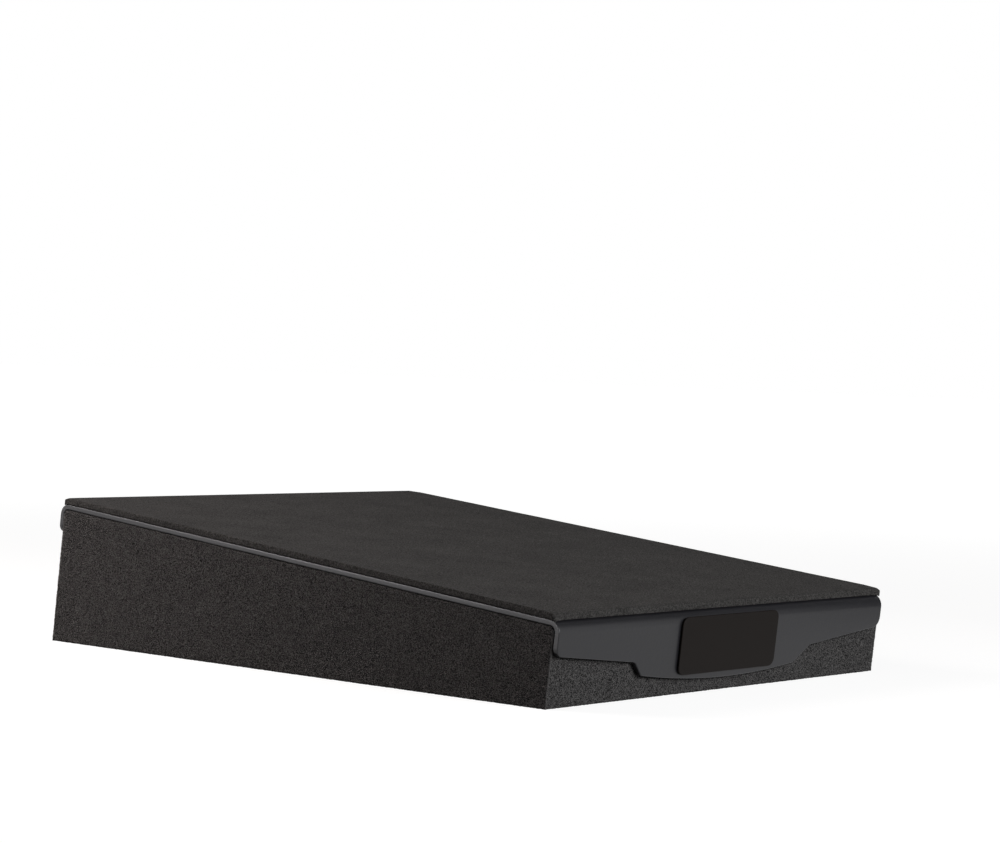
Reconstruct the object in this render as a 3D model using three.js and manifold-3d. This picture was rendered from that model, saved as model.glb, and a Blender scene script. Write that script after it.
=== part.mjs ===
// Speaker isolation pad: a foam wedge with a folded steel plate glued over it, a thin non-slip
// sheet glued on the plate, and a bare badge on the plate's front lip. The four pieces are drawn
// square to the plate and then tipped together onto the foam's sloping underside.
// Millimetres, +Z up, the front lip faces -Y, the origin is under the middle of the pad.
import * as THREE from "three";
import { mergeVertices } from "three/addons/utils/BufferGeometryUtils.js";
import Module from "manifold-3d";

// Folded steel plate
const PLATE_WIDTH = 258;
const PLATE_LENGTH = 330;
const PLATE_THICKNESS = 2.6;
const BEND_INSIDE_RADIUS = 3;
const LIP_CORNER_RADIUS = 4;

// Front lip: two sloping wings, and a deeper middle tab that carries the badge
const WING_END_DEPTH = 15.5;
const WING_ROOT_DEPTH = 21.5;
const LEFT_WING_LENGTH = 57;
const LEFT_STEP_RUN = 8;
const RIGHT_WING_LENGTH = 61;
const RIGHT_STEP_RUN = 13;
const STEP_RADIUS = 3;
const TAB_DEPTH = 32.6;
const TAB_ARC_RADIUS = 480;

// Back lip: plain and straight
const BACK_LIP_DEPTH = 15;

// Foam wedge
const FOAM_FRONT_HEIGHT = 36.4;
const WEDGE_ANGLE = THREE.MathUtils.degToRad(5.53);
const FOAM_SIDE_OVERHANG = 1;
const FOAM_LIP_CLEARANCE = 0.3;
const FOAM_SHIFT_RIGHT = 0.8;

// Non-slip sheet
const SHEET_THICKNESS = 3;
const SHEET_SETBACK = 2.6;
const SHEET_SIDE_OVERHANG = 1.5;
const SHEET_SHIFT_RIGHT = 0.6;
const SHEET_CORNER_RADIUS = 1.5;

// Badge
const BADGE_WIDTH = 76.4;
const BADGE_HEIGHT = 27.1;
const BADGE_THICKNESS = 1;
const BADGE_CORNER_RADIUS = 4;
const BADGE_EDGE_RADIUS = 0.3;
const BADGE_TOP_DEPTH = 2.4;
const BADGE_SHIFT_LEFT = 2;

// Film of adhesive under every glued face
const ADHESIVE_FILM = 0.3;

// How finely round edges are divided, and how far cutting solids stand clear of what they cut
const BEND_SEGMENTS = 10;
const CORNER_SEGMENTS = 6;
const TAB_SEGMENTS = 16;
const CUTTER_ALLOWANCE = 4;

const BEND_OUTSIDE_RADIUS = BEND_INSIDE_RADIUS + PLATE_THICKNESS;

const wasm = await Module();
wasm.setup();

// A closed solid for cutting, from a three.js geometry
function toSolid(geometry) {
  const bare = geometry.clone();
  bare.deleteAttribute("normal");
  bare.deleteAttribute("uv");
  const merged = mergeVertices(bare, 1e-5);
  return new wasm.Manifold(new wasm.Mesh({
    numProp: 3,
    vertProperties: new Float32Array(merged.attributes.position.array),
    triVerts: new Uint32Array(merged.index.array),
  }));
}

function toGeometry(solid) {
  const mesh = solid.getMesh();
  const geometry = new THREE.BufferGeometry();
  geometry.setAttribute("position", new THREE.BufferAttribute(mesh.vertProperties, 3));
  geometry.setIndex(new THREE.BufferAttribute(mesh.triVerts, 1));
  geometry.computeVertexNormals();
  return geometry;
}

// Points of an outline whose corners, each [x, y, radius], are rounded by true arcs
function roundCorners(corners) {
  const points = [];
  corners.forEach(([x, y, radius = 0], index) => {
    const corner = new THREE.Vector2(x, y);
    if (radius === 0) {
      points.push(corner);
      return;
    }
    const before = corners.at(index - 1);
    const after = corners[(index + 1) % corners.length];
    const back = new THREE.Vector2(before[0] - x, before[1] - y).normalize();
    const ahead = new THREE.Vector2(after[0] - x, after[1] - y).normalize();
    const halfAngle = Math.acos(back.dot(ahead)) / 2;
    const middle = back.clone().add(ahead).normalize();
    const centre = corner.clone().addScaledVector(middle, radius / Math.sin(halfAngle));
    const start = corner.clone().addScaledVector(back, radius / Math.tan(halfAngle)).sub(centre);
    const turn = (Math.PI - 2 * halfAngle) * Math.sign(-back.cross(ahead));
    for (let step = 0; step <= CORNER_SEGMENTS; step += 1) {
      const spoke = start.clone().rotateAround(new THREE.Vector2(), turn * step / CORNER_SEGMENTS);
      points.push(spoke.add(centre));
    }
  });
  return points;
}

// A rectangle with round corners, centred on the origin
function roundedRectangle(width, height, radius) {
  const x = width / 2;
  const y = height / 2;
  const corners = [[-x, -y, radius], [x, -y, radius], [x, y, radius], [-x, y, radius]];
  return new THREE.Shape(roundCorners(corners));
}

// A section drawn in the YZ plane, extruded across the pad
function extrudeAcross(section, width) {
  const geometry = new THREE.ExtrudeGeometry(section, {
    depth: width,
    bevelEnabled: false,
    curveSegments: BEND_SEGMENTS,
  });
  const yAxis = new THREE.Vector3(0, 1, 0);
  const zAxis = new THREE.Vector3(0, 0, 1);
  const xAxis = new THREE.Vector3(1, 0, 0);
  geometry.applyMatrix4(new THREE.Matrix4().makeBasis(yAxis, zAxis, xAxis));
  geometry.translate(-width / 2, 0, 0);
  return geometry;
}

// An outline drawn in the XZ plane, extruded from the front towards the back
function extrudeBack(outline, frontY, depth) {
  const geometry = new THREE.ExtrudeGeometry(outline, { depth, bevelEnabled: false });
  geometry.rotateX(Math.PI / 2);
  geometry.translate(0, frontY + depth, 0);
  return geometry;
}

// The plate's section: flat web, two right-angle bends, and lips still longer than needed
function plateSection(frontDepth, backDepth) {
  const centreDepth = -BEND_OUTSIDE_RADIUS;
  const frontCentre = BEND_OUTSIDE_RADIUS;
  const backCentre = PLATE_LENGTH - BEND_OUTSIDE_RADIUS;
  const section = new THREE.Shape();
  section.moveTo(0, -frontDepth);
  section.absarc(frontCentre, centreDepth, BEND_OUTSIDE_RADIUS, Math.PI, Math.PI / 2, true);
  section.absarc(backCentre, centreDepth, BEND_OUTSIDE_RADIUS, Math.PI / 2, 0, true);
  section.lineTo(PLATE_LENGTH, -backDepth);
  section.lineTo(PLATE_LENGTH - PLATE_THICKNESS, -backDepth);
  section.absarc(backCentre, centreDepth, BEND_INSIDE_RADIUS, 0, Math.PI / 2, false);
  section.absarc(frontCentre, centreDepth, BEND_INSIDE_RADIUS, Math.PI / 2, Math.PI, false);
  section.lineTo(PLATE_THICKNESS, -frontDepth);
  section.closePath();
  return section;
}

// Height of the tab's curved lower edge at a distance from the pad's middle
function tabEdge(x) {
  return -TAB_DEPTH + TAB_ARC_RADIUS - Math.sqrt(TAB_ARC_RADIUS ** 2 - x ** 2);
}

// Lower edge of the front lip, from the plate's left side to its right side
function frontLipCorners() {
  const side = PLATE_WIDTH / 2;
  const leftRoot = -side + LEFT_WING_LENGTH;
  const rightRoot = side - RIGHT_WING_LENGTH;
  const tabLeft = leftRoot + LEFT_STEP_RUN;
  const tabRight = rightRoot - RIGHT_STEP_RUN;
  const corners = [
    [-side, 0],
    [-side, -WING_END_DEPTH, LIP_CORNER_RADIUS],
    [leftRoot, -WING_ROOT_DEPTH, STEP_RADIUS],
    [tabLeft, tabEdge(tabLeft), STEP_RADIUS],
  ];
  for (let step = 1; step < TAB_SEGMENTS; step += 1) {
    const x = THREE.MathUtils.lerp(tabLeft, tabRight, step / TAB_SEGMENTS);
    corners.push([x, tabEdge(x)]);
  }
  corners.push(
    [tabRight, tabEdge(tabRight), STEP_RADIUS],
    [rightRoot, -WING_ROOT_DEPTH, STEP_RADIUS],
    [side, -WING_END_DEPTH, LIP_CORNER_RADIUS],
    [side, 0],
  );
  return corners;
}

function backLipCorners() {
  const side = PLATE_WIDTH / 2;
  return [
    [-side, 0],
    [-side, -BACK_LIP_DEPTH, LIP_CORNER_RADIUS],
    [side, -BACK_LIP_DEPTH, LIP_CORNER_RADIUS],
    [side, 0],
  ];
}

// The waste below a lip's lower edge, as a solid that trims the lip standing at frontY
function lipWaste(lipCorners, lipDepth, frontY) {
  const edge = roundCorners(lipCorners).slice(1, -1);
  const outside = PLATE_WIDTH / 2 + CUTTER_ALLOWANCE;
  const bottom = -lipDepth - 2 * CUTTER_ALLOWANCE;
  const outline = new THREE.Shape([
    new THREE.Vector2(-outside, bottom),
    new THREE.Vector2(outside, bottom),
    new THREE.Vector2(outside, edge.at(-1).y),
    ...edge.toReversed(),
    new THREE.Vector2(-outside, edge[0].y),
  ]);
  const depth = PLATE_THICKNESS + 2 * CUTTER_ALLOWANCE;
  return toSolid(extrudeBack(outline, frontY - CUTTER_ALLOWANCE, depth));
}

function makePlate() {
  const frontBlank = TAB_DEPTH + CUTTER_ALLOWANCE;
  const backBlank = BACK_LIP_DEPTH + CUTTER_ALLOWANCE;
  const blank = toSolid(extrudeAcross(plateSection(frontBlank, backBlank), PLATE_WIDTH));
  const backLipY = PLATE_LENGTH - PLATE_THICKNESS;
  const trimmed = blank
    .subtract(lipWaste(frontLipCorners(), TAB_DEPTH, 0))
    .subtract(lipWaste(backLipCorners(), BACK_LIP_DEPTH, backLipY));
  const mesh = new THREE.Mesh(toGeometry(trimmed), new THREE.MeshStandardMaterial({
    color: 0x3b3b3e,
    roughness: 0.42,
    metalness: 0.15,
    flatShading: true,
  }));
  mesh.name = "steel_plate";
  return mesh;
}

// The foam's side view: square to the plate at both ends, cut at a slope underneath, and rounded
// where it is pressed up into the plate's bends
function makeFoam() {
  const front = PLATE_THICKNESS + FOAM_LIP_CLEARANCE;
  const back = PLATE_LENGTH - front;
  const top = -PLATE_THICKNESS - ADHESIVE_FILM;
  const frontBottom = top - FOAM_FRONT_HEIGHT;
  const backBottom = frontBottom - (back - front) * Math.tan(WEDGE_ANGLE);
  const section = new THREE.Shape(roundCorners([
    [front, frontBottom],
    [back, backBottom],
    [back, top, BEND_INSIDE_RADIUS],
    [front, top, BEND_INSIDE_RADIUS],
  ]));
  const width = PLATE_WIDTH + 2 * FOAM_SIDE_OVERHANG;
  const mesh = new THREE.Mesh(extrudeAcross(section, width), new THREE.MeshStandardMaterial({
    color: 0x353433,
    roughness: 0.95,
    metalness: 0,
  }));
  mesh.position.x = FOAM_SHIFT_RIGHT;
  mesh.name = "foam_base";
  return mesh;
}

function makeSheet() {
  const width = PLATE_WIDTH + 2 * SHEET_SIDE_OVERHANG;
  const length = PLATE_LENGTH - 2 * SHEET_SETBACK;
  const outline = roundedRectangle(width, length, SHEET_CORNER_RADIUS);
  const geometry = new THREE.ExtrudeGeometry(outline, {
    depth: SHEET_THICKNESS,
    bevelEnabled: false,
  });
  const mesh = new THREE.Mesh(geometry, new THREE.MeshStandardMaterial({
    color: 0x333232,
    roughness: 0.9,
    metalness: 0,
  }));
  mesh.position.set(SHEET_SHIFT_RIGHT, PLATE_LENGTH / 2, ADHESIVE_FILM);
  mesh.name = "top_sheet";
  return mesh;
}

function makeBadge() {
  const outline = roundedRectangle(BADGE_WIDTH, BADGE_HEIGHT, BADGE_CORNER_RADIUS);
  const geometry = new THREE.ExtrudeGeometry(outline, {
    depth: BADGE_THICKNESS - 2 * BADGE_EDGE_RADIUS,
    bevelThickness: BADGE_EDGE_RADIUS,
    bevelSize: BADGE_EDGE_RADIUS,
    bevelOffset: -BADGE_EDGE_RADIUS,
    bevelSegments: 3,
  });
  geometry.rotateX(Math.PI / 2);
  const mesh = new THREE.Mesh(geometry, new THREE.MeshStandardMaterial({
    color: 0x242120,
    roughness: 0.5,
    metalness: 0.1,
  }));
  const middleDepth = BADGE_TOP_DEPTH + BADGE_HEIGHT / 2;
  mesh.position.set(-BADGE_SHIFT_LEFT, -ADHESIVE_FILM - BADGE_EDGE_RADIUS, -middleDepth);
  mesh.name = "badge_plate";
  return mesh;
}

const tipped = new THREE.Group();
tipped.add(makeFoam(), makePlate(), makeSheet(), makeBadge());
tipped.rotation.x = WEDGE_ANGLE;

// The foam's underside goes onto the ground, with the origin below the middle of the pad
const bounds = new THREE.Box3().setFromObject(tipped, true);
const middle = bounds.getCenter(new THREE.Vector3());
tipped.position.set(-middle.x, -middle.y, -bounds.min.z);

const pad = new THREE.Group();
pad.add(tipped);

export default pad;
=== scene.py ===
import math

import bmesh
import bpy
import numpy as np
from mathutils import Euler, Matrix, Vector, noise
from mathutils.geometry import delaunay_2d_cdt


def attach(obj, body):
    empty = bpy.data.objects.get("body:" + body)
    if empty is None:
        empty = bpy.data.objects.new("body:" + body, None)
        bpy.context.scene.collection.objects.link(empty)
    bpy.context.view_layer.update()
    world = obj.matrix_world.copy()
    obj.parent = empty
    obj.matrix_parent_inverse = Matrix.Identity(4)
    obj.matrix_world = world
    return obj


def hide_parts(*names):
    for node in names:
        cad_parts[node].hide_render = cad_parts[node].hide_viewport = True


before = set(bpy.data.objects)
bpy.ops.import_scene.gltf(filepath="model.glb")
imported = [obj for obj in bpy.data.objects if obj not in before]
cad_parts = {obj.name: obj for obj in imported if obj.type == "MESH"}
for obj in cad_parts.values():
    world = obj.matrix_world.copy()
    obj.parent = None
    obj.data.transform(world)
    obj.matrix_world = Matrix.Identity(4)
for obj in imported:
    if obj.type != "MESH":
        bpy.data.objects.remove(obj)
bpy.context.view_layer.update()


# Foam wedge: one block of charcoal open-cell foam, cut square at both ends and on a slope
# underneath. Its faces are bare broken cells. Its crumbled arrises carry a painted highlight: the
# colour is made paler near them, standing in for light caught by torn cell ends. It is pressed up
# between the plate's two lips and glued to the plate's underside.
WEDGE_ANGLE = math.radians(5.53)
PLATE_FRONT_ON_GROUND = (-0.6, -165.67795, 38.83763)
FOAM_LEFT, FOAM_RIGHT = -129.2, 131.2
FOAM_FRONT, FOAM_BACK = 2.9, 327.1
FOAM_TOP = -2.9
FOAM_FRONT_HEIGHT = 36.4
FOAM_TOP_CORNER_RADIUS = 3
CELL_EDGE_GAP = 0.7
CELL_FACE_GAP = 1.05
HIDDEN_FACE_GAP = 4
CLEAR_OF_EDGE = 0.45
WELD_DISTANCE = 0.004
CELL_DEPTH = 0.18
SHALLOW_CELL_BIAS = 1.6
ARRIS_CRUMBLE = 0.06
# How far from the upright arrises the painted highlight reaches, in millimetres.
PAINTED_HIGHLIGHT_WIDTH = 0.9
CUT_WAVINESS = 0.05
CUT_WAVES_PER_MM = 0.075
CELLS_PER_METRE = 2300.0


class Socket:
    """A socket of a finish's nodes. A sum on sockets adds the Math nodes that work it out."""

    def __init__(self, tree, link):
        self.tree = tree
        self.link = link

    def node(self, kind, settings, sockets, out=0):
        """A new node: its settings first, a ramp's stops among them, then its sockets."""
        made = self.tree.nodes.new("ShaderNode" + kind)
        for name, value in settings.items():
            if name == "stops":
                while len(made.color_ramp.elements) < len(value):
                    made.color_ramp.elements.new(1)
                for stop, (place, shade) in zip(made.color_ramp.elements, value):
                    stop.position = place
                    stop.color = (shade, shade, shade, 1)
            else:
                setattr(made, name, value)
        for name, value in sockets.items():
            if isinstance(value, Socket):
                self.tree.links.new(value.link, made.inputs[name])
            else:
                made.inputs[name].default_value = value
        return Socket(self.tree, made.outputs[out] if made.outputs else None)

    def sum(self, operation, first, second):
        return self.node("Math", {"operation": operation}, {0: first, 1: second})

    def __add__(self, other):
        return self.sum("ADD", self, other)

    def __sub__(self, other):
        return self.sum("SUBTRACT", self, other)

    def __rsub__(self, other):
        return self.sum("SUBTRACT", other, self)

    def __mul__(self, other):
        return self.sum("MULTIPLY", self, other)

    __radd__ = __add__
    __rmul__ = __mul__

    def __abs__(self):
        return self.sum("ABSOLUTE", self, 0)

    def between(self, dark, light):
        """The colour between dark, where this value is 0, and light, where it is 1."""
        return self.node("Mix", {"data_type": "RGBA"}, {0: self, 6: dark, 7: light}, out=2)


def start_finish(name):
    """A new material, and the place on the piece that its textures are laid out by."""
    material = bpy.data.materials.new(name)
    material.use_nodes = True
    material.node_tree.nodes.clear()
    start = Socket(material.node_tree, None)
    return material, start.node("TexCoord", {}, {}, out="Object")


def ramp_between(value, low, high, at_low, at_high):
    return value.node("MapRange", {}, {
        "Value": value,
        "From Min": low,
        "From Max": high,
        "To Min": at_low,
        "To Max": at_high,
    })


def set_on_ground(points):
    """Millimetres square to the plate, as metres with the foam's sloping underside on the ground."""
    x, y, z = np.asarray(points, float).T
    cosine, sine = math.cos(WEDGE_ANGLE), math.sin(WEDGE_ANGLE)
    tipped = np.column_stack((x, cosine * y - sine * z, sine * y + cosine * z))
    return (tipped + PLATE_FRONT_ON_GROUND) / 1000


def spaced(start, end, gap):
    """Points from start to just before end, evenly spaced and at most gap apart."""
    start, end = np.asarray(start, float), np.asarray(end, float)
    count = max(1, math.ceil(np.linalg.norm(end - start) / gap))
    return start + (end - start) * np.linspace(0, 1, count, endpoint=False)[:, None]


def arc(centre, radius, start, end, steps):
    """Points along an arc, with its angles in degrees."""
    turn = np.radians(np.linspace(start, end, steps + 1))
    return np.asarray(centre) + radius * np.column_stack((np.cos(turn), np.sin(turn)))


def closed_line(corners, gap):
    """Points round a closed line through corners, at most gap apart."""
    following = np.roll(corners, -1, axis=0)
    return np.vstack([spaced(start, end, gap) for start, end in zip(corners, following)])


def cover(outline, corners, gap, rings=(), rings_reach=0):
    """Triangles over a flat face with this outline, with points strewn about gap apart in it.
    rings are lines of points inside the outline, and none is strewn less than rings_reach in."""
    corners = np.asarray(corners, float)
    ahead = np.roll(corners, -1, axis=0) - corners
    inward = np.column_stack((-ahead[:, 1], ahead[:, 0]))
    inward /= np.linalg.norm(inward, axis=1)[:, None]
    low, high = corners.min(0), corners.max(0)
    columns, rows = (np.arange(low[axis], high[axis], gap) for axis in (0, 1))
    strewn = np.stack(np.meshgrid(columns, rows), -1).reshape(-1, 2)
    strewn += strew.uniform(0.15, 0.85, strewn.shape) * gap
    clear = (strewn @ inward.T - (corners * inward).sum(1)).min(1)
    strewn = strewn[clear > CLEAR_OF_EDGE * gap + rings_reach]
    points = np.vstack((outline, *rings, strewn))
    loop = [(i, (i + 1) % len(outline)) for i in range(len(outline))]
    found = delaunay_2d_cdt([Vector(p) for p in points], loop, [], 1, 1e-7)
    return np.array(found[0]), [list(face) for face in found[2]]


def join_faces(name, faces):
    """One piece from (points, faces) groups in millimetres, welded where they meet."""
    points = np.vstack([group for group, _ in faces])
    starts = np.cumsum([0] + [len(group) for group, _ in faces[:-1]])
    polygons = []
    for (_, found), first in zip(faces, starts):
        polygons.extend([i + first for i in face] for face in found)
    mesh = bpy.data.meshes.new(name)
    mesh.from_pydata(points.tolist(), [], polygons)
    welded = bmesh.new()
    welded.from_mesh(mesh)
    bmesh.ops.remove_doubles(welded, verts=welded.verts, dist=WELD_DISTANCE)
    bmesh.ops.recalc_face_normals(welded, faces=welded.faces)
    welded.to_mesh(mesh)
    welded.free()
    mesh.shade_smooth()
    piece = bpy.data.objects.new(name, mesh)
    bpy.context.scene.collection.objects.link(piece)
    return piece


def move_points(piece, points):
    piece.data.vertices.foreach_set("co", np.asarray(points, np.float32).ravel())
    piece.data.update()


def mesh_array(piece, what):
    found = np.empty(len(piece.data.vertices) * 3, np.float32)
    piece.data.vertices.foreach_get(what, found)
    return found.reshape(-1, 3).astype(float)


strew = np.random.default_rng(41)
foam_length = FOAM_BACK - FOAM_FRONT
front_bottom = (FOAM_FRONT, FOAM_TOP - FOAM_FRONT_HEIGHT)
back_bottom = (FOAM_BACK, front_bottom[1] - foam_length * math.tan(WEDGE_ANGLE))
corner_depth = FOAM_TOP - FOAM_TOP_CORNER_RADIUS
front_centre = (FOAM_FRONT + FOAM_TOP_CORNER_RADIUS, corner_depth)
back_centre = (FOAM_BACK - FOAM_TOP_CORNER_RADIUS, corner_depth)
front_corner = arc(front_centre, FOAM_TOP_CORNER_RADIUS, 180, 90, 6)
back_corner = arc(back_centre, FOAM_TOP_CORNER_RADIUS, 90, 0, 6)
foam_runs = [
    (np.vstack((front_bottom, front_corner)), CELL_FACE_GAP),
    (np.vstack((front_corner[-1:], back_corner[:1])), HIDDEN_FACE_GAP),
    (np.vstack((back_corner, back_bottom)), CELL_FACE_GAP),
    (np.array((back_bottom, front_bottom)), HIDDEN_FACE_GAP),
]
foam_faces = []
for run, gap in foam_runs:
    along = np.concatenate(([0], np.cumsum(np.linalg.norm(np.diff(run, axis=0), axis=1))))
    right = [(FOAM_RIGHT, distance) for distance in along]
    corners = [(FOAM_LEFT, 0), *right, *[(FOAM_LEFT, distance) for distance in along[:0:-1]]]
    flat, triangles = cover(closed_line(corners, CELL_EDGE_GAP), corners, gap)
    y, z = (np.interp(flat[:, 1], along, run[:, axis]) for axis in (0, 1))
    foam_faces.append((np.column_stack((flat[:, 0], y, z)), triangles))
side = np.vstack([run[:-1] for run, _ in foam_runs])[::-1]
side_outline = closed_line(side, CELL_EDGE_GAP)
for x in (FOAM_LEFT, FOAM_RIGHT):
    flat, triangles = cover(side_outline, side, CELL_FACE_GAP)
    foam_faces.append((np.column_stack((np.full(len(flat), x), flat)), triangles))

foam_wedge = join_faces("foam_wedge", foam_faces)
points, outward = mesh_array(foam_wedge, "co"), mesh_array(foam_wedge, "normal")
on_arris = np.abs(outward).max(1) < 0.9
depth = CELL_DEPTH * strew.random(len(points)) ** SHALLOW_CELL_BIAS
depth += ARRIS_CRUMBLE * on_arris * strew.random(len(points))
waves = [noise.noise(Vector(point) * CUT_WAVES_PER_MM) for point in points]
depth += CUT_WAVINESS * (1 + np.array(waves))
move_points(foam_wedge, set_on_ground(points - outward * depth[:, None]))


def inside(value, low, high):
    """How far a socket's value is inside a range, from the nearer end of it."""
    half = (high - low) / 2
    return half - abs(value - (low + half))


foam_finish, place = start_finish("charcoal_foam")
cell_place = place.node("TexVoronoi", {}, {"Vector": place, "Scale": CELLS_PER_METRE}, out="Position")
cell_tint = place.node("TexWhiteNoise", {"noise_dimensions": "3D"}, {"Vector": cell_place}, out="Value")
hollow = place.node("TexVoronoi", {}, {"Vector": place, "Scale": CELLS_PER_METRE}, out="Distance")
strands = place.node("TexNoise", {}, {"Vector": place, "Scale": 2500.0, "Detail": 2.0})
clumps = place.node("TexNoise", {}, {"Vector": place, "Scale": 120.0, "Detail": 2.0})
struts = place.node("ValToRGB", {"stops": [(0.4, 0.0), (0.62, 1.0)]}, {0: strands})
level = (0, math.cos(WEDGE_ANGLE), math.sin(WEDGE_ANGLE))
across = place.node("SeparateXYZ", {}, {"Vector": place}, out="X")
across = across * 1000 - PLATE_FRONT_ON_GROUND[0]
along = place.node("VectorMath", {"operation": "DOT_PRODUCT"}, {0: place, 1: level}, out="Value")
along = along * 1000 - Vector(PLATE_FRONT_ON_GROUND).dot(level)
from_side = inside(across, FOAM_LEFT, FOAM_RIGHT)
from_end = inside(along, FOAM_FRONT, FOAM_BACK)
from_arris = place.sum("MAXIMUM", from_side, from_end)
# Painted highlight: the base colour is made paler within about a millimetre of the four upright
# arrises, where the sides meet the ends. It stands in for light that torn cell ends catch.
painted_arris_highlight = ramp_between(from_arris, CELL_DEPTH + 2 * ARRIS_CRUMBLE, PAINTED_HIGHLIGHT_WIDTH, 1.0, 0.0)
shade = cell_tint * 0.95 + struts + hollow * 0.45 - 0.7 + (clumps - 0.5) * 0.15 + painted_arris_highlight * 0.7
relief = struts * 0.5 + hollow
foam_nodes = place.node("BsdfPrincipled", {}, {
    "Base Color": shade.between((0.0042, 0.0042, 0.0044, 1), (0.105, 0.1025, 0.1015, 1)),
    "Roughness": 0.9,
    "Specular IOR Level": 0.03,
    "Normal": place.node("Bump", {}, {"Strength": 0.8, "Distance": 0.0004, "Height": relief}),
})
place.node("OutputMaterial", {}, {"Surface": foam_nodes})
foam_wedge.data.materials.append(foam_finish)

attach(foam_wedge, "root")
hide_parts("foam_base")


# Folded plate: one blank of 2.6 mm mild steel, laser cut, with its front and back edges folded
# down square, and powder coated satin graphite. The coat rounds its cut edges. The front lip is
# cut to two sloping wings and a deeper middle tab for the badge.
PLATE_WIDTH = 258
PLATE_LENGTH = 330
PLATE_THICKNESS = 2.6
BEND_INSIDE_RADIUS = 3
BEND_OUTSIDE_RADIUS = BEND_INSIDE_RADIUS + PLATE_THICKNESS
WING_END_DEPTH = 15.5
WING_ROOT_DEPTH = 21.5
LEFT_WING_LENGTH = 57
LEFT_STEP_RUN = 5.5
RIGHT_WING_LENGTH = 61
RIGHT_STEP_RUN = 13
LEFT_STEP_RADIUS = 3
RIGHT_STEP_RADIUS = 6
TAB_DEPTH = 32.6
TAB_ARC_RADIUS = 480
LIP_CORNER_RADIUS = 4
FRONT_RIGHT_CORNER_RADIUS = 5.5
BACK_LIP_DEPTH = 15
COATED_EDGE_RADIUS = 0.5
BEND_ARC = math.pi / 2 * (BEND_INSIDE_RADIUS + PLATE_THICKNESS / 2)
WEB_LENGTH = PLATE_LENGTH - 2 * BEND_OUTSIDE_RADIUS


def fold(x, along, depth):
    """Where a point of the flat blank lies once both lips are folded down.
    along is measured from the foot of the front bend, and depth from the coated outer face."""
    radius = BEND_OUTSIDE_RADIUS - depth
    front = along / BEND_ARC * math.pi / 2
    web = along - BEND_ARC
    back = (web - WEB_LENGTH) / BEND_ARC * math.pi / 2
    lip = web - WEB_LENGTH - BEND_ARC
    zones = [along <= 0, web <= 0, web <= WEB_LENGTH, lip <= 0, lip > 0]
    far = PLATE_LENGTH - BEND_OUTSIDE_RADIUS
    y = np.select(zones, [
        depth,
        BEND_OUTSIDE_RADIUS - radius * np.cos(front),
        BEND_OUTSIDE_RADIUS + web,
        far + radius * np.sin(back),
        PLATE_LENGTH - depth,
    ])
    z = np.select(zones, [
        along - BEND_OUTSIDE_RADIUS,
        radius * np.sin(front) - BEND_OUTSIDE_RADIUS,
        -depth,
        radius * np.cos(back) - BEND_OUTSIDE_RADIUS,
        -BEND_OUTSIDE_RADIUS - lip,
    ])
    return np.column_stack((x, y, z))


def round_corners(corners, steps=9):
    """A line through corners, each (x, y, radius), with the middle ones rounded by arcs."""
    line = []
    for before, (x, y, radius), after in zip(corners, corners[1:-1], corners[2:]):
        here = Vector((x, y))
        back = (Vector(before[:2]) - here).normalized()
        ahead = (Vector(after[:2]) - here).normalized()
        if radius == 0:
            line.append(here)
            continue
        half = back.angle(ahead) / 2
        centre = here + (back + ahead).normalized() * radius / math.sin(half)
        start = here + back * radius / math.tan(half) - centre
        turn = math.copysign(math.pi - 2 * half, -back.cross(ahead))
        for step in range(steps + 1):
            line.append(centre + Matrix.Rotation(turn * step / steps, 2) @ start)
    return np.array(line)


def tab_edge(x):
    return TAB_DEPTH - TAB_ARC_RADIUS + math.sqrt(TAB_ARC_RADIUS ** 2 - x ** 2)


half_width = PLATE_WIDTH / 2
left_root, right_root = LEFT_WING_LENGTH - half_width, half_width - RIGHT_WING_LENGTH
tab_left, tab_right = left_root + LEFT_STEP_RUN, right_root - RIGHT_STEP_RUN
lip_corners = [
    (-half_width, 0, 0),
    (-half_width, WING_END_DEPTH, LIP_CORNER_RADIUS),
    (left_root, WING_ROOT_DEPTH, LEFT_STEP_RADIUS),
    (tab_left, tab_edge(tab_left), LEFT_STEP_RADIUS),
    *[(x, tab_edge(x), 0) for x in np.linspace(tab_left, tab_right, 25)[1:-1]],
    (tab_right, tab_edge(tab_right), RIGHT_STEP_RADIUS),
    (right_root, WING_ROOT_DEPTH, RIGHT_STEP_RADIUS),
    (half_width, WING_END_DEPTH, FRONT_RIGHT_CORNER_RADIUS),
    (half_width, 0, 0),
]
back_lip_corners = [
    (-half_width, 0, 0),
    (-half_width, BACK_LIP_DEPTH, LIP_CORNER_RADIUS),
    (half_width, BACK_LIP_DEPTH, LIP_CORNER_RADIUS),
    (half_width, 0, 0),
]


def outward_along(line, lead=None):
    """Straight out of the material at each point of a cut line that has the material on its left.
    An open line comes in and goes out along lead; a closed one has no lead."""
    before, after = np.roll(line, 1, axis=0), np.roll(line, -1, axis=0)
    if lead:
        before[0], after[-1] = line[0] + lead, line[-1] + lead
    first = (line - before) / np.linalg.norm(line - before, axis=1)[:, None]
    second = (after - line) / np.linalg.norm(after - line, axis=1)[:, None]
    heading = first + second
    out = np.column_stack((heading[:, 1], -heading[:, 0]))
    return out / np.linalg.norm(out, axis=1)[:, None]


def pick(line, at):
    """Points of a line at fractional places along its list of points."""
    places = np.arange(len(line))
    return np.column_stack([np.interp(at, places, line[:, axis]) for axis in range(2)])


def edge_profile(thickness, radius, steps=4):
    """Half-round corners down a cut edge, each point (how far out of the cut line, depth)."""
    turn = np.radians(np.linspace(0, 90, steps + 1))
    top = np.column_stack((radius * (np.sin(turn) - 1), radius * (1 - np.cos(turn))))
    return np.vstack((top, (top * (1, -1) + (0, thickness))[::-1]))


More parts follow.
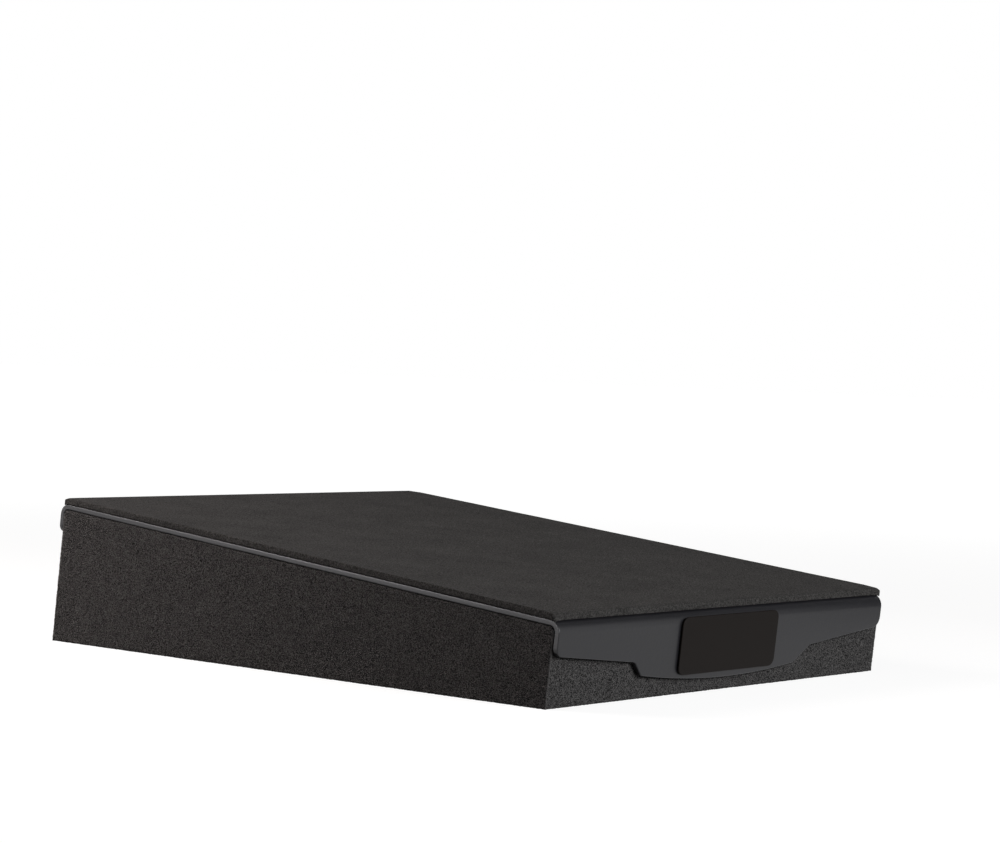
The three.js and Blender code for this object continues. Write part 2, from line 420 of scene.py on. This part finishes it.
def rim(cut, out, profile):
    """The band round a cut edge: its points (two across the flat, and depth) and its faces."""
    count = len(cut)
    rings = [np.column_stack((cut + out * offset, np.full(count, depth))) for offset, depth in profile]
    quads = []
    for ring in range(len(profile) - 1):
        for here in range(count):
            ahead = (here + 1) % count
            row = ring * count
            quads.append([row + here, row + ahead, row + count + ahead, row + count + here])
    return np.vstack(rings), quads


front_cut = round_corners(lip_corners)
front_cut[:, 1] = BEND_OUTSIDE_RADIUS - front_cut[:, 1]
front_out = outward_along(front_cut, lead=(0, 1))
back_cut = round_corners(back_lip_corners)
back_cut[:, 1] += 2 * BEND_ARC + WEB_LENGTH - BEND_OUTSIDE_RADIUS
back_out = outward_along(back_cut[::-1], lead=(0, -1))[::-1]
front_inset = front_cut - front_out * COATED_EDGE_RADIUS
back_inset = back_cut - back_out * COATED_EDGE_RADIUS

columns = np.unique(np.round(np.concatenate((front_inset[:, 0], back_inset[:, 0])), 2))
front_at = np.interp(columns, front_inset[:, 0], np.arange(len(front_inset)))
back_at = np.interp(columns, back_inset[:, 0], np.arange(len(back_inset)))
front_edge, back_edge = pick(front_inset, front_at)[:, 1], pick(back_inset, back_at)[:, 1]
far_bend = BEND_ARC + WEB_LENGTH
blank_end = far_bend + BEND_ARC
middle_rows = np.concatenate((
    np.linspace(0, BEND_ARC, 17),
    np.linspace(BEND_ARC + 0.6, far_bend - 0.6, 30),
    np.linspace(far_bend, blank_end, 17),
))
shares = np.array((0, 0.3, 0.6, 0.92))
along = np.vstack((
    np.outer(1 - shares, front_edge),
    np.repeat(middle_rows[:, None], len(columns), axis=1),
    blank_end + np.outer(1 - shares[::-1], back_edge - blank_end),
))
rows = len(along)
across = np.repeat(columns[None, :], rows, axis=0)
grid = np.arange(along.size).reshape(along.shape)
squares = np.stack((grid[:-1, :-1], grid[:-1, 1:], grid[1:, 1:], grid[1:, :-1]), -1).reshape(-1, 4)

side_rows = along[1:-1, 0]
right_side = np.column_stack((np.full(len(side_rows), half_width), along[1:-1, -1]))
left_side = np.column_stack((np.full(len(side_rows), -half_width), side_rows))[::-1]
cut = np.vstack((pick(front_cut, front_at), right_side, pick(back_cut, back_at)[::-1], left_side))
out = np.vstack((
    pick(front_out, front_at),
    np.tile((1, 0), (len(right_side), 1)),
    pick(back_out, back_at)[::-1],
    np.tile((-1, 0), (len(left_side), 1)),
))
coated_edge, edge_quads = rim(cut, out, edge_profile(PLATE_THICKNESS, COATED_EDGE_RADIUS))
folded_plate = join_faces("folded_plate", [
    (fold(across.ravel(), along.ravel(), np.zeros(along.size)), squares.tolist()),
    (fold(across.ravel(), along.ravel(), np.full(along.size, PLATE_THICKNESS)), squares.tolist()),
    (fold(*coated_edge.T), edge_quads),
])
move_points(folded_plate, set_on_ground(mesh_array(folded_plate, "co")))
even_shading = folded_plate.modifiers.new("even_shading", "WEIGHTED_NORMAL")
even_shading.weight = 50

powder_coat, place = start_finish("satin_graphite_powder_coat")
orange_peel = place.node("TexNoise", {}, {"Vector": place, "Scale": 620.0, "Detail": 2.0})
specks = place.node("TexNoise", {}, {"Vector": place, "Scale": 2600.0, "Detail": 1.0})
drift = place.node("TexNoise", {}, {"Vector": place, "Scale": 14.0, "Detail": 2.0})
shade = 0.5 + (drift - 0.5) * 0.5 + (specks - 0.5) * 0.5
coat_nodes = place.node("BsdfPrincipled", {}, {
    "Base Color": shade.between((0.0078, 0.0078, 0.0092, 1), (0.012, 0.012, 0.0142, 1)),
    "Roughness": 0.36 + (specks - 0.5) * 0.12 + (drift - 0.5) * 0.1,
    "Specular IOR Level": 0.3,
    "Normal": place.node("Bump", {}, {
        "Strength": 0.35,
        "Distance": 0.0001,
        "Height": orange_peel + specks * 0.3,
    }),
})
place.node("OutputMaterial", {}, {"Surface": coat_nodes})
folded_plate.data.materials.append(powder_coat)

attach(folded_plate, "root")
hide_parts("steel_plate")


# Non-slip sheet: 3 mm of soft dark foam rubber, knife cut a little wider than the plate and glued
# on it. Its cut edge is slightly ragged, and where it stands out past the bends and the plate's
# sides its edges and corners droop, because it is soft.
SHEET_WIDTH, SHEET_LENGTH, SHEET_THICKNESS = 261, 324.8, 3
SHEET_CENTRE = (0.6, 165)
SHEET_UNDERSIDE = 0.3
SHEET_CORNER_RADIUS = 1.5
SHEET_ARRIS_RADIUS = 0.4
SHEET_RING_INSETS = (1.2, 2.2, 3.4, 4.8, 6.4)
SHEET_RINGS_REACH = 7
KNIFE_WANDER, KNIFE_JAGS, KNIFE_INSET = 0.22, 0.16, 0.1
DROOP_PAST_BENDS, DROOP_AT_CORNERS, DROOP_OFF_SIDES = 0.4, 0.5, 0.35


def rounded_rectangle(width, height, radius, gap):
    """A closed line round a rectangle with round corners, centred on the origin."""
    x, y = width / 2 - radius, height / 2 - radius
    arcs = [
        arc((x, -y), radius, -90, 0, 8),
        arc((x, y), radius, 0, 90, 8),
        arc((-x, y), radius, 90, 180, 8),
        arc((-x, -y), radius, 180, 270, 8),
    ]
    line = []
    for bend, following in zip(arcs, arcs[1:] + arcs[:1]):
        line.extend((bend[:-1], spaced(bend[-1], following[0], gap)))
    return np.vstack(line)


def nearing(distance, begins, ends):
    """0 further in from an edge than begins, 1 further out than ends, and smooth between them."""
    share = np.clip((begins - distance) / (begins - ends), 0, 1)
    return share * share * (3 - 2 * share)


cut = rounded_rectangle(SHEET_WIDTH, SHEET_LENGTH, SHEET_CORNER_RADIUS, 1.2) + SHEET_CENTRE
out = outward_along(cut)
wander = np.array([noise.noise(Vector((x, y, 0)) * 0.06) for x, y in cut])
jags = np.array([noise.noise(Vector((x, y, 9)) * 0.7) for x, y in cut])
cut += out * (KNIFE_WANDER * wander + KNIFE_JAGS * jags - KNIFE_INSET)[:, None]
sheet_edge, edge_quads = rim(cut, out, edge_profile(SHEET_THICKNESS, SHEET_ARRIS_RADIUS))
near_edge = [cut - out * inset for inset in SHEET_RING_INSETS]
flat, triangles = cover(cut - out * SHEET_ARRIS_RADIUS, cut, 6, near_edge, SHEET_RINGS_REACH)
top_face = np.column_stack((flat, np.zeros(len(flat))))
bottom_face = np.column_stack((flat, np.full(len(flat), SHEET_THICKNESS)))
grip_sheet = join_faces("grip_sheet", [
    (top_face, triangles),
    (bottom_face, triangles),
    (sheet_edge, edge_quads),
])
x, y, depth = mesh_array(grip_sheet, "co").T
from_side = half_width - np.abs(x)
from_end = np.minimum(y, PLATE_LENGTH - y)
past_bend = nearing(from_end, BEND_OUTSIDE_RADIUS, 2.6)
droop = DROOP_PAST_BENDS * past_bend
droop += DROOP_AT_CORNERS * past_bend * nearing(from_side, 7, -2)
droop += DROOP_OFF_SIDES * nearing(from_side, 1, -1.6) * nearing(from_end, 14, 3)
height = SHEET_UNDERSIDE + SHEET_THICKNESS - depth - droop
move_points(grip_sheet, set_on_ground(np.column_stack((x, y, height))))

sheet_finish, place = start_finish("dark_foam_rubber")
skin = place.node("TexNoise", {}, {"Vector": place, "Scale": 1500.0, "Detail": 3.0})
pores = place.node("TexVoronoi", {}, {"Vector": place, "Scale": 1700.0}, out="Distance")
scuffs = place.node("TexNoise", {}, {"Vector": place, "Scale": 45.0, "Detail": 4.0})
grain = place.node("ValToRGB", {"stops": [(0.36, 0.0), (0.66, 1.0)]}, {0: skin})
shade = grain + pores * 0.4 + (scuffs - 0.5) * 0.5 - 0.27
sheet_nodes = place.node("BsdfPrincipled", {}, {
    "Base Color": shade.between((0.013, 0.0126, 0.0122, 1), (0.063, 0.061, 0.059, 1)),
    "Roughness": 0.95,
    "Specular IOR Level": 0.08,
    "Normal": place.node("Bump", {}, {
        "Strength": 0.5,
        "Distance": 0.0002,
        "Height": skin + pores * 0.5,
    }),
})
place.node("OutputMaterial", {}, {"Surface": sheet_nodes})
grip_sheet.data.materials.append(sheet_finish)

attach(grip_sheet, "root")
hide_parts("top_sheet")


# Badge: a bare plate of dark satin plastic, 1 mm thick, with round corners and softened edges,
# stuck to the middle of the front lip's tab with a thin film of adhesive.
BADGE_WIDTH, BADGE_HEIGHT, BADGE_THICKNESS = 76.4, 27.1, 1
BADGE_CENTRE = (-2, -15.95)
BADGE_FRONT = -1.3
BADGE_CORNER_RADIUS = 4
BADGE_EDGE_RADIUS = 0.3

cut = rounded_rectangle(BADGE_WIDTH, BADGE_HEIGHT, BADGE_CORNER_RADIUS, 3) + BADGE_CENTRE
out = outward_along(cut)
badge_edge, edge_quads = rim(cut, out, edge_profile(BADGE_THICKNESS, BADGE_EDGE_RADIUS))
flat, triangles = cover(cut - out * BADGE_EDGE_RADIUS, cut, 4)
front_face = np.column_stack((flat, np.zeros(len(flat))))
back_face = np.column_stack((flat, np.full(len(flat), BADGE_THICKNESS)))
badge = join_faces("bare_badge", [
    (front_face, triangles),
    (back_face, triangles),
    (badge_edge, edge_quads),
])
x, z, depth = mesh_array(badge, "co").T
move_points(badge, set_on_ground(np.column_stack((x, BADGE_FRONT + depth, z))))
even_shading = badge.modifiers.new("even_shading", "WEIGHTED_NORMAL")
even_shading.weight = 50

badge_finish, place = start_finish("dark_satin_plastic")
frosting = place.node("TexNoise", {}, {"Vector": place, "Scale": 2200.0, "Detail": 2.0})
cast = place.node("TexNoise", {}, {"Vector": place, "Scale": 30.0, "Detail": 2.0})
shade = 0.5 + (frosting - 0.5) * 0.5 + (cast - 0.5) * 0.4
badge_nodes = place.node("BsdfPrincipled", {}, {
    "Base Color": shade.between((0.0048, 0.0037, 0.0032, 1), (0.0086, 0.0068, 0.006, 1)),
    "Roughness": 0.5 + (frosting - 0.5) * 0.1,
    "Specular IOR Level": 0.06,
    "Normal": place.node("Bump", {}, {"Strength": 0.2, "Distance": 0.00006, "Height": frosting}),
})
place.node("OutputMaterial", {}, {"Surface": badge_nodes})
badge.data.materials.append(badge_finish)

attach(badge, "root")
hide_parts("badge_plate")


# Studio: pale paper on the floor under a white surround that darkens overhead, a warm soft box
# low behind on the left and one in front, with two strips on the left and a black flag on the
# right that only reflections see. The camera stands low off the pad's front left corner.
def seen_rays(start):
    """1 for what looks at a surface, straight or by a reflection, and 0 for the light on things."""
    seen = start.node("LightPath", {}, {}, out="Is Camera Ray")
    for kind in ("Is Glossy Ray", "Is Transmission Ray"):
        seen = seen + start.node("LightPath", {}, {}, out=kind)
    return seen


paper, place = start_finish("pale_paper")
distance = place.node("VectorMath", {"operation": "LENGTH"}, {0: place}, out="Value")
matt = place.node("BsdfDiffuse", {}, {"Color": (0.22, 0.22, 0.22, 1)})
glow = place.node("Emission", {}, {"Color": (1, 1, 1, 1), "Strength": 1.0})
lit = place.node("AddShader", {}, {0: matt, 1: glow})
share = seen_rays(place) * ramp_between(distance, 0.45, 1.5, 0.86, 1.0)
paper_nodes = place.node("MixShader", {}, {0: share, 1: matt, 2: lit})
place.node("OutputMaterial", {}, {"Surface": paper_nodes})
PAPER_REACH = 14
paper_corners = [(-PAPER_REACH, -PAPER_REACH, 0), (PAPER_REACH, -PAPER_REACH, 0)]
paper_corners += [(PAPER_REACH, PAPER_REACH, 0), (-PAPER_REACH, PAPER_REACH, 0)]
floor_mesh = bpy.data.meshes.new("paper_floor")
floor_mesh.from_pydata(paper_corners, [], [(0, 1, 2, 3)])
floor_mesh.materials.append(paper)
paper_floor = bpy.data.objects.new("paper_floor", floor_mesh)
bpy.context.scene.collection.objects.link(paper_floor)

surround = bpy.data.worlds.new("white_surround")
surround.use_nodes = True
surround.node_tree.nodes.clear()
start = Socket(surround.node_tree, None)
way = start.node("TexCoord", {}, {}, out="Generated")
upward = way.node("SeparateXYZ", {}, {"Vector": way}, out="Z")
white = ramp_between(upward, 0.3, 0.62, 1.0, 0.22)
shown = white.between((0, 0, 0, 1), (1, 1, 1, 1))
dim = start.node("Background", {}, {"Color": (1, 1, 1, 1), "Strength": 0.06})
bright = start.node("Background", {}, {"Color": shown, "Strength": 1.0})
mixed = start.node("MixShader", {}, {0: seen_rays(start), 1: dim, 2: bright})
start.node("OutputWorld", {}, {"Surface": mixed})
bpy.context.scene.world = surround


def soft_box(name, place, aim, size, power, colour):
    """A flat rectangular lamp that the camera doesn't see."""
    lamp = bpy.data.lights.new(name, "AREA")
    lamp.shape = "RECTANGLE"
    lamp.size, lamp.size_y = size
    lamp.energy = power
    lamp.color = colour
    box = bpy.data.objects.new(name, lamp)
    box.location = place
    box.rotation_euler = (Vector(aim) - Vector(place)).to_track_quat("-Z", "Y").to_euler()
    box.visible_camera = False
    bpy.context.scene.collection.objects.link(box)
    return box


def strip(name, place, aim, size, power, colour):
    """A soft box that shows in reflections, and lights no matt surface."""
    soft_box(name, place, aim, size, power, colour).visible_diffuse = False


soft_box("back_left_box", (-0.42, 0.5, 0.42), (-0.13, 0.12, 0.05), (0.4, 0.4), 5.3, (1, 0.91, 0.88))
soft_box("front_box", (0.05, -1.2, 0.42), (0, -0.15, 0.03), (0.5, 0.5), 13.8, (0.99, 0.99, 1))
strip("left_strip", (-0.98, 0.7, 0.29), (-0.13, 0, 0.05), (0.42, 0.09), 9.5, (1, 0.97, 1))
strip("side_strip", (-1.1, 0.05, 0.14), (-0.13, -0.16, 0.05), (0.3, 0.15), 5.0, (0.98, 0.97, 1))

FLAG_HEIGHT = 0.6
FLAG_CLEARANCE = 0.001
flag_toe = [(0.2, -0.305, FLAG_CLEARANCE), (0.317, -0.231, FLAG_CLEARANCE)]
flag_foot = [(0.475, -0.458, FLAG_CLEARANCE), (0.651, -0.198, FLAG_CLEARANCE)]
flag_top = [(x, y, FLAG_HEIGHT) for x, y, _ in flag_foot]
flag_mesh = bpy.data.meshes.new("black_flag")
flag_mesh.from_pydata([*flag_toe, *flag_foot, *flag_top], [], [(0, 1, 3, 2), (2, 3, 5, 4)])
black_cloth, place = start_finish("black_cloth")
cloth_nodes = place.node("BsdfDiffuse", {}, {"Color": (0.02, 0.02, 0.02, 1)})
place.node("OutputMaterial", {}, {"Surface": cloth_nodes})
flag_mesh.materials.append(black_cloth)
black_flag = bpy.data.objects.new("black_flag", flag_mesh)
black_flag.visible_camera = False
black_flag.visible_diffuse = False
black_flag.visible_shadow = False
bpy.context.scene.collection.objects.link(black_flag)

lens = bpy.data.cameras.new("studio_camera")
lens.sensor_width = 36
lens.lens = 98.11
lens.clip_end = 60
camera = bpy.data.objects.new("studio_camera", lens)
camera.location = (-1.0438242, -0.9019439, 0.1509881)
camera.rotation_euler = Euler([math.radians(turn) for turn in (88.702047, -1.947347, -49.694526)])
bpy.context.scene.collection.objects.link(camera)
bpy.context.scene.camera = camera
bpy.context.scene.view_settings.view_transform = "Standard"
